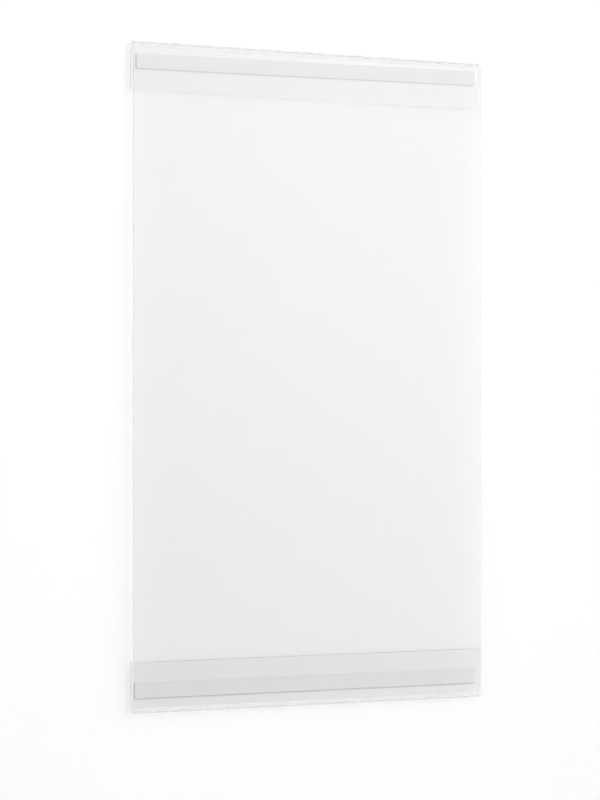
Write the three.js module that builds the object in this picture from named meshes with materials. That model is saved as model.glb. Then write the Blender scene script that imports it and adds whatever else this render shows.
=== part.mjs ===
// Clear wall pocket for one upright sheet, folded from one sheet of rigid plastic and held by two foam tapes.
// Millimetres. +Z is up, the front faces -Y, and the wall is the plane Y = 0.
import * as THREE from 'three';

// Sheet of paper or card that the pocket holds
const insertWidth = 210;
const insertHeight = 297;
// How far the pocket reaches past the insert at each open side
const sideCover = 1.5;
// Free height above the insert and below it
const insertPlay = 1.9;

// Clear plastic, and the channel that each flap leaves behind the front panel
const sheetThickness = 1;
const channelDepth = 1;
// Height of each bend, from its outer edge to where the sheet is flat again
const bendReach = 2.5;
// From the outer edge of the bend to the free edge of the flap
const upperFlapHeight = 21.8;
const lowerFlapHeight = 23.1;
// Rounding of the flaps' free edges
const flapEdgeRadius = 0.25;

// Foam tapes
const upperTapeLength = 207;
const lowerTapeLength = 208.2;
const tapeHeight = 6.8;
const foamThickness = 0.8;
const adhesiveThickness = 0.1;
const tapeCornerRadius = 0.4;
// From the pocket's nearer edge to the middle line of each tape
const upperTapeInset = 7.9;
const lowerTapeInset = 10.2;
// The tapes are laid by hand: each one's shift to the right, and the upper one's turn in degrees, right end up
const upperTapeShift = 0.6;
const lowerTapeShift = 0.2;
const upperTapeTurn = 0.55;

// Each arc of a bend or of a small corner is drawn in twice this many steps
const bendSteps = 12;
const cornerSteps = 3;

// Worked out from the sizes above
const tapeThickness = foamThickness + 2 * adhesiveThickness;
const pocketWidth = insertWidth + 2 * sideCover;
const pocketHeight = insertHeight + 2 * (insertPlay + sheetThickness);
const pocketTop = pocketHeight / 2;
const innerBend = channelDepth / 2;
const outerBend = innerBend + sheetThickness;
const flapBack = -tapeThickness;
const flapFilm = flapBack + adhesiveThickness;
const flapFront = flapBack - sheetThickness;
const panelBack = flapFront - channelDepth;
const panelFront = panelBack - sheetThickness;
const bendCentreY = flapBack - outerBend;
const bendCentreZ = pocketTop - bendReach;

const clearPlastic = new THREE.MeshStandardMaterial({
  color: 0xf2f5f5, roughness: 0.05, metalness: 0, transparent: true, opacity: 0.3,
});
const whiteFoam = new THREE.MeshStandardMaterial({ color: 0xeceeed, roughness: 0.9, metalness: 0 });
const adhesiveFilm = new THREE.MeshStandardMaterial({ color: 0xe4e7e6, roughness: 0.25, metalness: 0 });

const quarter = Math.PI / 2;

// The sheet's parts are drawn in the side view, Y to the right and Z up, and run along X
function alongPocket(name, outline, steps) {
  const geometry = new THREE.ExtrudeGeometry(outline, {
    depth: pocketWidth, curveSegments: steps, bevelEnabled: false,
  });
  geometry.translate(0, 0, -pocketWidth / 2);
  geometry.applyMatrix4(new THREE.Matrix4().makeBasis(
    new THREE.Vector3(0, 1, 0),
    new THREE.Vector3(0, 0, 1),
    new THREE.Vector3(1, 0, 0),
  ));
  const mesh = new THREE.Mesh(geometry, clearPlastic);
  mesh.name = name;
  return mesh;
}

// Flat front, from the start of one bend to the start of the other
function frontPanel() {
  const outline = new THREE.Shape();
  outline.moveTo(panelFront, -bendCentreZ);
  outline.lineTo(panelBack, -bendCentreZ);
  outline.lineTo(panelBack, bendCentreZ);
  outline.lineTo(panelFront, bendCentreZ);
  outline.closePath();
  return alongPocket('front_panel', outline, 1);
}

// Bend in the form of half an ellipse, which turns the sheet back over the channel.
// up is 1 at the top and -1 at the bottom.
function bend(name, up) {
  const outline = new THREE.Shape();
  const over = up < 0;
  const innerReach = bendReach - sheetThickness;
  outline.absellipse(bendCentreY, up * bendCentreZ, outerBend, bendReach, 0, 2 * up * quarter, over);
  outline.absellipse(bendCentreY, up * bendCentreZ, innerBend, innerReach, 2 * up * quarter, 0, !over);
  outline.closePath();
  return alongPocket(name, outline, bendSteps);
}

// Flat return flap behind the panel, from the bend to its rounded free edge
function flap(name, up, height) {
  const root = up * bendCentreZ;
  const edge = up * (pocketTop - height);
  const r = flapEdgeRadius;
  const outline = new THREE.Shape();
  outline.moveTo(flapFront, root);
  outline.lineTo(flapFront, edge + up * r);
  outline.absarc(flapFront + r, edge + up * r, r, 2 * quarter, (2 + up) * quarter, up < 0);
  outline.absarc(flapBack - r, edge + up * r, r, -up * quarter, 0, up < 0);
  outline.lineTo(flapBack, root);
  outline.closePath();
  return alongPocket(name, outline, cornerSteps);
}

// One layer of a tape, from Y = back to Y = back - thickness, with small round corners
function tapeLayer(name, material, length, back, thickness) {
  const x = length / 2;
  const z = tapeHeight / 2;
  const r = tapeCornerRadius;
  const outline = new THREE.Shape();
  outline.absarc(x - r, r - z, r, -quarter, 0, false);
  outline.absarc(x - r, z - r, r, 0, quarter, false);
  outline.absarc(r - x, z - r, r, quarter, 2 * quarter, false);
  outline.absarc(r - x, r - z, r, 2 * quarter, 3 * quarter, false);
  outline.closePath();
  const geometry = new THREE.ExtrudeGeometry(outline, {
    depth: thickness, curveSegments: cornerSteps, bevelEnabled: false,
  });
  geometry.applyMatrix4(new THREE.Matrix4().makeBasis(
    new THREE.Vector3(1, 0, 0),
    new THREE.Vector3(0, 0, 1),
    new THREE.Vector3(0, -1, 0),
  ));
  geometry.translate(0, back, 0);
  const mesh = new THREE.Mesh(geometry, material);
  mesh.name = name;
  return mesh;
}

// Foam carrier with a coat of adhesive towards the wall and one towards the flap
function foamTape(side, length) {
  const tape = new THREE.Group();
  tape.add(
    tapeLayer(`${side}_tape_wall_adhesive`, adhesiveFilm, length, 0, adhesiveThickness),
    tapeLayer(`${side}_tape_foam`, whiteFoam, length, -adhesiveThickness, foamThickness),
    tapeLayer(`${side}_tape_flap_adhesive`, adhesiveFilm, length, flapFilm, adhesiveThickness),
  );
  return tape;
}

const pocket = new THREE.Group();

// The folded sheet is one piece of plastic, drawn here as its five plain stretches
const foldedSheet = new THREE.Group();
foldedSheet.add(
  frontPanel(),
  bend('upper_bend', 1),
  flap('upper_flap', 1, upperFlapHeight),
  bend('lower_bend', -1),
  flap('lower_flap', -1, lowerFlapHeight),
);
pocket.add(foldedSheet);

const upperTape = foamTape('upper', upperTapeLength);
upperTape.position.set(upperTapeShift, 0, pocketTop - upperTapeInset);
upperTape.rotation.y = -THREE.MathUtils.degToRad(upperTapeTurn);
pocket.add(upperTape);

const lowerTape = foamTape('lower', lowerTapeLength);
lowerTape.position.set(lowerTapeShift, 0, lowerTapeInset - pocketTop);
pocket.add(lowerTape);

export default pocket;
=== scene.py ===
"""Clear adhesive display pocket on a white wall: one folded plastic sheet held by two foam tapes."""

from math import cos, hypot, pi, radians, sin

import bmesh
import bpy
from mathutils import Euler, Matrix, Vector


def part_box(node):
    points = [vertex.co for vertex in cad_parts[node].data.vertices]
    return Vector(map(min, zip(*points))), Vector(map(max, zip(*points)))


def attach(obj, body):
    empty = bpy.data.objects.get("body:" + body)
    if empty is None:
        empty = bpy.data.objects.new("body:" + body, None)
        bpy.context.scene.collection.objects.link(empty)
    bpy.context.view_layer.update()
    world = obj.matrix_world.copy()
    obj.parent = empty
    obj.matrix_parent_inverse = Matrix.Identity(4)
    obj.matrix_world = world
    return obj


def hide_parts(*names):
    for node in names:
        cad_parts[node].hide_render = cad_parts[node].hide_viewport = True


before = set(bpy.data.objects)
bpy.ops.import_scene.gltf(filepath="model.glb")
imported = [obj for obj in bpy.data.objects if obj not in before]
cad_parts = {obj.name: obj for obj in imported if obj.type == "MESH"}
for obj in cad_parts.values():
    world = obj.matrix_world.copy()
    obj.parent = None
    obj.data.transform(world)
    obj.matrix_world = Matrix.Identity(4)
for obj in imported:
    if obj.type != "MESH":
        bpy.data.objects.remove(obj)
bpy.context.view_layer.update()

# All lengths are in metres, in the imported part's own frame: +Z up, -Y towards the viewer, wall at Y = 0
MM = 0.001
WHITE = (1, 1, 1, 1)

# Camera, fitted to the corners of the front panel in the photograph
CAMERA_PLACE = (-1.4418, -1.6731, -0.0241)
CAMERA_YAW = radians(40.665)
CAMERA_PITCH = radians(0.369)
CAMERA_LENS = 213.96
SENSOR_SIDE = 36

# Sizes of the folded sheet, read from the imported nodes
PANEL_LOW, PANEL_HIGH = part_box("front_panel")
UPPER_FLAP_LOW, UPPER_FLAP_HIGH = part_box("upper_flap")
LOWER_FLAP_EDGE_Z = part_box("lower_flap")[1].z
HALF_WIDTH = PANEL_HIGH.x
SHEET = PANEL_HIGH.y - PANEL_LOW.y
BEND_Y = (UPPER_FLAP_HIGH.y + PANEL_LOW.y) / 2
OUTER_DEPTH = (UPPER_FLAP_HIGH.y - PANEL_LOW.y) / 2
BEND_Z = PANEL_HIGH.z
OUTER_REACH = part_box("upper_bend")[1].z - BEND_Z

# Fine shape of the folded sheet, with the steps of each bend and of each small rounding
BEND_STEPS = 32
FLAP_EDGE_RADIUS = 0.25 * MM
CUT_END_RADIUS = 0.20 * MM
ROUND_STEPS = 4
# Narrow strips beside each rounding, so that the flat faces keep a flat normal
SHADING_STRIP = 0.3 * MM
# The adhesive has wetted the flaps, so the sheet's back sinks this far into it and mirrors nothing there
WETTED = 0.005 * MM

# Refractive index of the clear plastic
PLASTIC_IOR = 1.57
# Share of the light that passes one face of the plastic head on, with what bounces back from the wall
FACE_PASSES = 0.985
# The same for a cut end, which scatters the rest
CUT_END_PASSES = 0.91
# Times that the plastic mirrors one ray inside before it lets it through, dimmed by each face
MOST_MIRRORED = 2.5
SPENT_PASSES = (0.90, 0.90, 0.90, 1)
# The sheet was heated to bend it, so the bends are this much rougher
BEND_HAZE = 0.22
# How light the dull edges are, as painted shade. The panel's eased front edges and the upper flap's free
# edge are painted darker for the light that they send away along the sheet, and the lower flap's free
# edge, which faces up, darker still for the shade along it
ROUNDING_SHADE_TONE = 0.82
LOWER_EDGE_SHADE_TONE = 0.68
# Where the way out of the fold points up by more than this, the top of the sheet is rubbed dull
TOP_LINE = 0.9
# Where it points to the front by more than this, the eased edges beside the cut ends get painted shade
FRONT_FACING = 0.5
# Places of the four finishes in the folded sheet's list of materials, the last two with painted shade
CLEAR, CUT, SHADED_ROUNDING, SHADED_LOWER_EDGE = range(4)

# The lower tape's foam is painted darker than the upper one's, as painted shade along its cut sides
UPPER_FOAM_TONE = 0.90
SHADED_LOWER_FOAM_TONE = 0.70

# Stage. The wall's one-sided face lies a hair inside the tapes' backs, so that they show from behind
WALL_Y = -0.02 * MM
WALL_SIDE = 5.0
WALL_COLOUR = (0.90, 0.90, 0.90, 1)
FLOOR_Z = -0.9
FLOOR_SIDE = 14.0
FLOOR_COLOUR = (0.80, 0.80, 0.80, 1)

# Light. The lifts are glows that only bring a pale stage up to plain white where it is seen
WALL_LIFT = 0.15
WALL_LIFT_THROUGH = 0.10
FLOOR_LIFT = 0.48
# Soft light from the room: even in front, stronger from the left and still more from the right
ROOM_LIGHT = 0.20
LEFT_LIGHT = 2.60
RIGHT_LIGHT = 3.40
# How far aside a direction points where the light from the sides begins, and where it is full
SIDES = (0.70, 0.92)
# The part of the room that the front panel mirrors: a pale grey, darker towards the floor and the left
DIM_ROOM = 0.53
PALE_ROOM = 1.18
# How far to the right that part begins, where it is full, and where its middle is
DIM_ROOM_SIDE = (0.40, 0.55)
DIM_ROOM_MIDDLE = 0.65
# It goes from dim to pale over this range upwards, and a step to the right counts as so many upwards
DIM_ROOM_RANGE = (-0.10, 0.12)
RIGHT_FOR_UP = 1.7
# Square area lamps: name, place, the point that each faces, side and power in watts
LAMPS = (
    ("key", (0.14, -0.80, 0.36), (-0.9, 0, -0.9), 0.30, 3.25),
    ("fill", (1.86, -2.07, 2.30), (0, 0, 0), 3.5, 45),
    ("rear", (-1.0, 1.6, 1.2), (0, 0, 0), 1.0, 26),
)


class Nodes:
    """Adds nodes to one tree. An input is given as a value, or as the socket that feeds it."""

    def __init__(self, tree):
        self.tree = tree
        tree.nodes.clear()

    def add(self, kind, inputs=None, **settings):
        node = self.tree.nodes.new("ShaderNode" + kind)
        for name, value in settings.items():
            setattr(node, name, value)
        for key, value in (inputs or {}).items():
            if isinstance(value, bpy.types.NodeSocket):
                self.tree.links.new(value, node.inputs[key])
            else:
                node.inputs[key].default_value = value
        return node

    def math(self, operation, first, second=0.0, clamp=False):
        inputs = {0: first, 1: second}
        return self.add("Math", inputs, operation=operation, use_clamp=clamp).outputs[0]

    def ranged(self, value, low, high, to_low, to_high):
        """value from low..high to to_low..to_high, held at both ends."""
        inputs = {
            "Value": value,
            "From Min": low,
            "From Max": high,
            "To Min": to_low,
            "To Max": to_high,
        }
        return self.add("MapRange", inputs, interpolation_type="SMOOTHSTEP").outputs["Result"]

    def mapped(self, vector, scale, turn=(0, 0, 0)):
        inputs = {"Vector": vector, "Scale": scale, "Rotation": turn}
        return self.add("Mapping", inputs).outputs["Vector"]

    def noise(self, vector, scale, detail=2.0, roughness=0.5):
        inputs = {"Vector": vector, "Scale": scale, "Detail": detail, "Roughness": roughness}
        return self.add("TexNoise", inputs).outputs["Fac"]

    def mix(self, factor, first, second):
        inputs = {0: factor, 1: first, 2: second}
        return self.add("MixShader", inputs).outputs[0]

    def bump(self, height, strength, distance):
        inputs = {"Strength": strength, "Distance": distance, "Height": height}
        return self.add("Bump", inputs).outputs["Normal"]

    def blend(self, factor, first, second):
        """Colour between first and second."""
        inputs = {"Factor": factor, "A": first, "B": second}
        node = self.add("Mix", data_type="RGBA")
        sockets = {s.name: s for s in node.inputs if s.enabled}
        for name, value in inputs.items():
            if isinstance(value, bpy.types.NodeSocket):
                self.tree.links.new(value, sockets[name])
            else:
                sockets[name].default_value = value
        return next(s for s in node.outputs if s.enabled)


def new_material(name):
    material = bpy.data.materials.new(name)
    material.use_nodes = True
    return material, Nodes(material.node_tree)


def clear_plastic():
    """Glossy clear sheet with faint haze, hairline scratches and slow waves, duller in the bends."""
    material, n = new_material("clear_plastic")
    place = n.add("TexCoord").outputs["Object"]

    # Hairlines from cleaning cloths, in two directions
    scratches = 0.0
    for turn in (0.35, 1.9):
        streaks = n.noise(n.mapped(place, (9, 9, 900), (0, turn, 0)), 1.0, 1.0)
        scratches = n.math("MAXIMUM", n.ranged(streaks, 0.70, 0.76, 0, 1), scratches)
    worn = n.ranged(n.noise(place, 14.0), 0.45, 0.65, 0, 1)
    scratches = n.math("MULTIPLY", scratches, worn)

    haze = n.ranged(n.noise(place, 35.0, 4.0), 0.35, 0.75, 0.004, 0.016)
    rough = n.math("ADD", haze, n.math("MULTIPLY", scratches, 0.05))
    from_middle = n.math("ABSOLUTE", n.add("SeparateXYZ", {0: place}).outputs["Z"])
    bent = n.ranged(from_middle, BEND_Z, BEND_Z + OUTER_REACH / 2, 0, BEND_HAZE)
    rough = n.math("ADD", rough, bent)
    waves = n.noise(place, 55.0, 1.0)
    bump = n.bump(waves, 1.0, 0.003 * MM)

    plastic = n.add("BsdfPrincipled", {
        "Base Color": (0.988, 0.990, 0.990, 1),
        "Roughness": rough,
        "Normal": bump,
        "IOR": PLASTIC_IOR,
        "Transmission Weight": 1.0,
    }).outputs[0]

    # Light that a bend has mirrored to and fro often goes straight on, so that no black line is left
    spent = n.math("GREATER_THAN", n.add("LightPath").outputs["Glossy Depth"], MOST_MIRRORED)
    straight = n.add("BsdfTransparent", {"Color": SPENT_PASSES}).outputs[0]
    plastic = n.mix(spent, plastic, straight)

    n.add("OutputMaterial", {"Surface": lit_through(n, plastic, FACE_PASSES)})
    return material


def lit_through(n, surface, head_on):
    """Lamps and scattered light pass straight through. On the way in they lose what both faces of the
    sheet mirror, by Schlick's formula, and none on the way out, because the sheet guides what it mirrors
    inside. head_on is the share that passes a face that the light meets squarely."""
    slant = n.add("LayerWeight", {"Blend": 0.5}).outputs["Facing"]
    passed = n.math("MULTIPLY", n.math("SUBTRACT", 1.0, n.math("POWER", slant, 5.0)), head_on)
    passed = n.math("POWER", passed, 2.0)
    passed = n.math("MAXIMUM", passed, n.add("NewGeometry").outputs["Backfacing"])
    straight = n.add("BsdfTransparent", {"Color": passed}).outputs[0]
    path = n.add("LightPath").outputs
    surface = n.mix(path["Is Shadow Ray"], surface, straight)
    return n.mix(path["Is Diffuse Ray"], surface, straight)


def cut_plastic(name, tone):
    """Sawn and polished edge of the sheet, frosted by the saw, which passes on the light that the sheet
    carries. The rubbed line along the top has this finish too. tone is how light it is: less than 1 where
    it paints shade on the eased edges and on the lower flap's free edge."""
    material, n = new_material(name)
    place = n.add("TexCoord").outputs["Object"]
    saw_lines = n.noise(n.mapped(place, (3000, 9000, 2500)), 1.0, 2.0)
    bump = n.bump(saw_lines, 0.4, 0.01 * MM)
    dull = (0.93 * tone, 0.945 * tone, 0.945 * tone, 1)
    bright = (0.98 * tone, 0.985 * tone, 0.985 * tone, 1)
    colour = n.blend(saw_lines, dull, bright)
    frosted = n.add("BsdfDiffuse", {"Color": colour, "Normal": bump}).outputs[0]
    carried = n.add("BsdfTranslucent", {"Color": colour}).outputs[0]
    polish = n.add("BsdfGlossy", {"Color": WHITE, "Roughness": 0.12, "Normal": bump}).outputs[0]
    body = n.mix(0.5, frosted, carried)
    # Light that comes from inside the sheet is scattered here and not mirrored back
    outside = n.math("SUBTRACT", 1.0, n.add("NewGeometry").outputs["Backfacing"])
    fresnel = n.add("Fresnel", {"IOR": PLASTIC_IOR, "Normal": bump}).outputs[0]
    shine = n.math("MULTIPLY", fresnel, outside)
    n.add("OutputMaterial", {"Surface": lit_through(n, n.mix(shine, body, polish), CUT_END_PASSES)})
    return material


def white_foam(name, tone):
    """White closed-cell foam, with its small cells. tone is how light it is: lower for painted shade on
    the lower tape's cut sides.
    """
    material, n = new_material(name)
    place = n.add("TexCoord").outputs["Object"]
    cells = n.add("TexVoronoi", {"Vector": place, "Scale": 3600.0}, feature="SMOOTH_F1")
    blotches = n.noise(place, 420.0, 4.0)
    colour = n.blend(blotches, (0.92 * tone, 0.925 * tone, 0.92 * tone, 1), (tone, tone, tone, 1))
    height = n.math("ADD", cells.outputs["Distance"], n.math("MULTIPLY", blotches, 0.6))
    foam = n.add("BsdfPrincipled", {
        "Base Color": colour,
        "Roughness": n.ranged(blotches, 0.3, 0.7, 0.8, 0.95),
        "Normal": n.bump(height, 0.7, 0.06 * MM),
    })
    n.add("OutputMaterial", {"Surface": foam.outputs[0]})
    return material


def adhesive_film():
    """Thin coat of pressure-sensitive adhesive, satin, with patches where it has wetted out."""
    material, n = new_material("adhesive")
    place = n.add("TexCoord").outputs["Object"]
    patches = n.noise(place, 260.0, 5.0, 0.6)
    streaks = n.noise(n.mapped(place, (60, 1500, 1500)), 1.0, 2.0)
    wetted = n.ranged(patches, 0.42, 0.58, 0, 1)
    colour = n.blend(wetted, (0.865, 0.867, 0.863, 1), (0.895, 0.897, 0.895, 1))
    height = n.math("ADD", n.math("MULTIPLY", patches, 0.5), streaks)
    film = n.add("BsdfPrincipled", {
        "Base Color": colour,
        "Roughness": n.ranged(wetted, 0, 1, 0.42, 0.24),
        "Normal": n.bump(height, 0.5, 0.03 * MM),
        "IOR": 1.47,
    })
    n.add("OutputMaterial", {"Surface": film.outputs[0]})
    return material


def sheet_stations():
    """The folded sheet in side view, from the upper flap's free edge round to the lower one's:
    for each station the middle of the sheet, the direction out of the fold and half the thickness."""
    flap_y = UPPER_FLAP_HIGH.y - SHEET / 2
    panel_y = PANEL_LOW.y + SHEET / 2
    half = SHEET / 2
    stations = []

    def rounded_edge(edge_z, inward):
        """Stations from the flap's free edge to its full thickness."""
        for step in range(ROUND_STEPS + 1):
            turn = step / ROUND_STEPS * pi / 2
            along = FLAP_EDGE_RADIUS * (1 - cos(turn))
            lost = FLAP_EDGE_RADIUS * (1 - sin(turn))
            yield (flap_y, edge_z + inward * along), (1, 0), half - lost
        yield (flap_y, edge_z + inward * (FLAP_EDGE_RADIUS + SHADING_STRIP)), (1, 0), half

    stations += rounded_edge(UPPER_FLAP_LOW.z, 1)
    stations.append(((flap_y, BEND_Z - SHADING_STRIP), (1, 0), half))
    for up in (1, -1):
        for step in range(BEND_STEPS + 1):
            turn = step / BEND_STEPS * pi
            outer = (OUTER_DEPTH * up * cos(turn), OUTER_REACH * up * sin(turn))
            inner = ((OUTER_DEPTH - SHEET) * up * cos(turn), (OUTER_REACH - SHEET) * up * sin(turn))
            thickness = hypot(outer[0] - inner[0], outer[1] - inner[1])
            out = ((outer[0] - inner[0]) / thickness, (outer[1] - inner[1]) / thickness)
            centre = (BEND_Y + (outer[0] + inner[0]) / 2, up * BEND_Z + (outer[1] + inner[1]) / 2)
            stations.append((centre, out, thickness / 2))
        if up > 0:
            stations.append(((panel_y, BEND_Z - SHADING_STRIP), (-1, 0), half))
            stations.append(((panel_y, SHADING_STRIP - BEND_Z), (-1, 0), half))
    stations.append(((flap_y, SHADING_STRIP - BEND_Z), (1, 0), half))
    stations += reversed(list(rounded_edge(LOWER_FLAP_EDGE_Z, -1)))
    return stations


def cut_end_rings():
    """Places along X, and how much of each face is eased off there, from one cut end to the other."""
    rings = []
    for step in range(ROUND_STEPS + 1):
        turn = step / ROUND_STEPS * pi / 2
        x = HALF_WIDTH - CUT_END_RADIUS * (1 - cos(turn))
        rings.append((x, CUT_END_RADIUS * (1 - sin(turn))))
    rings.append((HALF_WIDTH - CUT_END_RADIUS - SHADING_STRIP, 0))
    return [(-x, lost) for x, lost in rings] + [(x, lost) for x, lost in reversed(rings)]


def folded_sheet(*finishes):
    """One closed mesh: front panel, both bends and both flaps without a seam. The finishes come in the
    order clear, cut, eased edges with painted shade, and the lower flap's free edge with painted shade."""
    stations = sheet_stations()
    mesh = bmesh.new()
    rings = []
    for x, lost in cut_end_rings():
        outer, inner = [], []
        for (y, z), (out_y, out_z), half in stations:
            reach = half - lost
            outer.append(mesh.verts.new((x, y + out_y * reach + WETTED, z + out_z * reach)))
            inner.append(mesh.verts.new((x, y - out_y * reach + WETTED, z - out_z * reach)))
        rings.append(outer + inner[::-1])
    around = len(rings[0])
    last = len(stations) - 1
    # Strips of faces along the sheet that have a finish of their own, by their first corner in a ring
    upper_edge = around - 1
    lower_edge = range(last - ROUND_STEPS, last + ROUND_STEPS + 1)
    top_line = [i for i, (_, out, _) in enumerate(stations) if out[1] > TOP_LINE]
    front = [i for i, (_, out, _) in enumerate(stations) if -out[0] > FRONT_FACING]
    for k, (ring, following) in enumerate(zip(rings, rings[1:])):
        from_end = min(k, len(rings) - 2 - k)
        for i in range(around):
            j = (i + 1) % around
            face = mesh.faces.new((ring[i], ring[j], following[j], following[i]))
            # Painted shade: the lower flap's free edge darkest, and the upper flap's free edge and the
            # front of the cut-end roundings a little darker
            if i in lower_edge:
                face.material_index = SHADED_LOWER_EDGE
            elif i == upper_edge or (i in front and 0 < from_end < ROUND_STEPS):
                face.material_index = SHADED_ROUNDING
            elif i in top_line or from_end < ROUND_STEPS:
                face.material_index = CUT
            else:
                face.material_index = CLEAR
    for ring in (rings[0], rings[-1]):
        for i in range(last):
            face = mesh.faces.new((ring[i], ring[i + 1], ring[around - 2 - i], ring[around - 1 - i]))
            face.material_index = CUT
    bmesh.ops.recalc_face_normals(mesh, faces=mesh.faces)
    return finished_piece("folded_sheet", mesh, finishes)


def finished_piece(name, mesh, materials):
    """Turns a bmesh into a smooth-shaded object in the scene."""
    data = bpy.data.meshes.new(name)
    mesh.to_mesh(data)
    mesh.free()
    data.shade_smooth()
    for material in materials:
        data.materials.append(material)
    piece = bpy.data.objects.new(name, data)
    bpy.context.scene.collection.objects.link(piece)
    return piece


def plane(name, corners, material):
    """Flat part of the stage, which isn't part of the object."""
    data = bpy.data.meshes.new(name)
    data.from_pydata(corners, [], [(0, 1, 2, 3)])
    data.materials.append(material)
    stage = bpy.data.objects.new(name, data)
    bpy.context.scene.collection.objects.link(stage)


def lift(n, direct, through):
    """Glow that brings a pale stage up to white for the rays that show it: direct for camera and
    glossy rays, and through for what is seen through the plastic, whose rays count as glossy too."""
    path = n.add("LightPath").outputs
    seen = n.math("MAXIMUM", path["Is Camera Ray"], path["Is Glossy Ray"])
    seen = n.math("MULTIPLY", seen, n.ranged(path["Is Transmission Ray"], 0, 1, direct, through))
    return n.add("Emission", {"Strength": seen}).outputs[0]


def wall_paint():
    """White wall, lifted to the photograph's plain white where it is seen, with the shadows on it.
    It has one side, so that it hides nothing from behind."""
    material, n = new_material("wall_paint")
    paint = n.add("BsdfDiffuse", {"Color": WALL_COLOUR}).outputs[0]
    front = n.add("AddShader", {0: paint, 1: lift(n, WALL_LIFT, WALL_LIFT_THROUGH)}).outputs[0]
    back = n.add("NewGeometry").outputs["Backfacing"]
    surface = n.mix(back, front, n.add("BsdfTransparent").outputs[0])
    n.add("OutputMaterial", {"Surface": surface})
    return material


def floor_paint():
    """Pale floor, lifted towards white where it is seen."""
    material, n = new_material("floor_paint")
    paint = n.add("BsdfDiffuse", {"Color": FLOOR_COLOUR}).outputs[0]
    surface = n.add("AddShader", {0: paint, 1: lift(n, FLOOR_LIFT, FLOOR_LIFT)}).outputs[0]
    n.add("OutputMaterial", {"Surface": surface})
    return material


def studio_world():
    """Soft light from all round, stronger from both sides, and white where the camera sees it. In mirrors
    and through the plastic it is white too, but for the part that the front panel mirrors."""
    world = bpy.data.worlds.new("studio")
    bpy.context.scene.world = world
    world.use_nodes = True
    n = Nodes(world.node_tree)
    path = n.add("LightPath").outputs
    direction = n.add("SeparateXYZ", {0: n.add("TexCoord").outputs["Generated"]}).outputs
    rightward = n.math("SUBTRACT", direction["X"], DIM_ROOM_MIDDLE)
    upward = n.math("ADD", direction["Z"], n.math("MULTIPLY", rightward, RIGHT_FOR_UP))
    pale = n.ranged(upward, *DIM_ROOM_RANGE, DIM_ROOM, PALE_ROOM)
    aside = n.ranged(direction["X"], *DIM_ROOM_SIDE, 0, 1)
    aside = n.math("MULTIPLY", aside, n.math("LESS_THAN", direction["Y"], 0.0))
    strength = n.ranged(aside, 0, 1, 1, pale)
    room = n.add("Background", {"Color": WHITE, "Strength": strength})
    white = n.add("Background", {"Color": WHITE})
    leftward = n.math("MULTIPLY", direction["X"], -1.0)
    from_left = n.ranged(leftward, *SIDES, ROOM_LIGHT, LEFT_LIGHT)
    from_right = n.ranged(direction["X"], *SIDES, ROOM_LIGHT, RIGHT_LIGHT)
    from_sides = n.math("MAXIMUM", from_left, from_right)
    light = n.add("Background", {"Color": WHITE, "Strength": from_sides})
    mirrored = n.math("MAXIMUM", path["Is Glossy Ray"], path["Is Transmission Ray"])
    mirrored = n.math("SUBTRACT", mirrored, path["Is Diffuse Ray"], clamp=True)
    seen = n.mix(mirrored, light.outputs[0], room.outputs[0])
    n.add("OutputWorld", {"Surface": n.mix(path["Is Camera Ray"], seen, white.outputs[0])})


def soft_lamp(name, place, target, side, power):
    """Square area lamp that points at target. It isn't seen itself, and the plastic doesn't mirror it."""
    data = bpy.data.lights.new(name, "AREA")
    data.size = side
    data.energy = power
    lamp = bpy.data.objects.new(name, data)
    lamp.location = place
    lamp.rotation_euler = (Vector(target) - Vector(place)).to_track_quat("-Z", "Y").to_euler()
    lamp.visible_camera = False
    lamp.visible_glossy = False
    lamp.visible_transmission = False
    bpy.context.scene.collection.objects.link(lamp)


def photograph_camera():
    """Camera at the photograph's place, which looks along +Y, turned to the right and a little up."""
    data = bpy.data.cameras.new("camera")
    data.lens = CAMERA_LENS
    data.sensor_width = SENSOR_SIDE
    camera = bpy.data.objects.new("camera", data)
    camera.location = CAMERA_PLACE
    camera.rotation_euler = Euler((pi / 2 + CAMERA_PITCH, 0, -CAMERA_YAW))
    bpy.context.scene.collection.objects.link(camera)
    bpy.context.scene.camera = camera


def dress_tapes():
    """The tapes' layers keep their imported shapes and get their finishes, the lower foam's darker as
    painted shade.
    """
    film = adhesive_film()
    for side, tone in (("upper", UPPER_FOAM_TONE), ("lower", SHADED_LOWER_FOAM_TONE)):
        foam = white_foam(f"{side}_tape_foam", tone)
        for layer, material in (("flap_adhesive", film), ("foam", foam), ("wall_adhesive", film)):
            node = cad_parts[f"{side}_tape_{layer}"]
            node.data.materials.clear()
            node.data.materials.append(material)


photograph_camera()

cut = cut_plastic("cut_plastic", 1)
# These two are the cut finish painted darker, as painted shade on dull edges
eased = cut_plastic("rounding_shade_plastic", ROUNDING_SHADE_TONE)
shaded_lower_edge_plastic = cut_plastic("lower_edge_shade_plastic", LOWER_EDGE_SHADE_TONE)
clear = clear_plastic()
sheet = folded_sheet(clear, cut, eased, shaded_lower_edge_plastic)
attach(sheet, "root")
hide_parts("front_panel", "upper_bend", "upper_flap", "lower_bend", "lower_flap")

dress_tapes()

half_wall = WALL_SIDE / 2
plane("wall", [
    (-half_wall, WALL_Y, FLOOR_Z),
    (half_wall, WALL_Y, FLOOR_Z),
    (half_wall, WALL_Y, FLOOR_Z + WALL_SIDE),
    (-half_wall, WALL_Y, FLOOR_Z + WALL_SIDE),
], wall_paint())
half_floor = FLOOR_SIDE / 2
plane("floor", [
    (-half_floor, -half_floor, FLOOR_Z),
    (half_floor, -half_floor, FLOOR_Z),
    (half_floor, half_floor, FLOOR_Z),
    (-half_floor, half_floor, FLOOR_Z),
], floor_paint())

studio_world()
for lamp in LAMPS:
    soft_lamp(*lamp)

bpy.context.scene.view_settings.view_transform = "Standard"
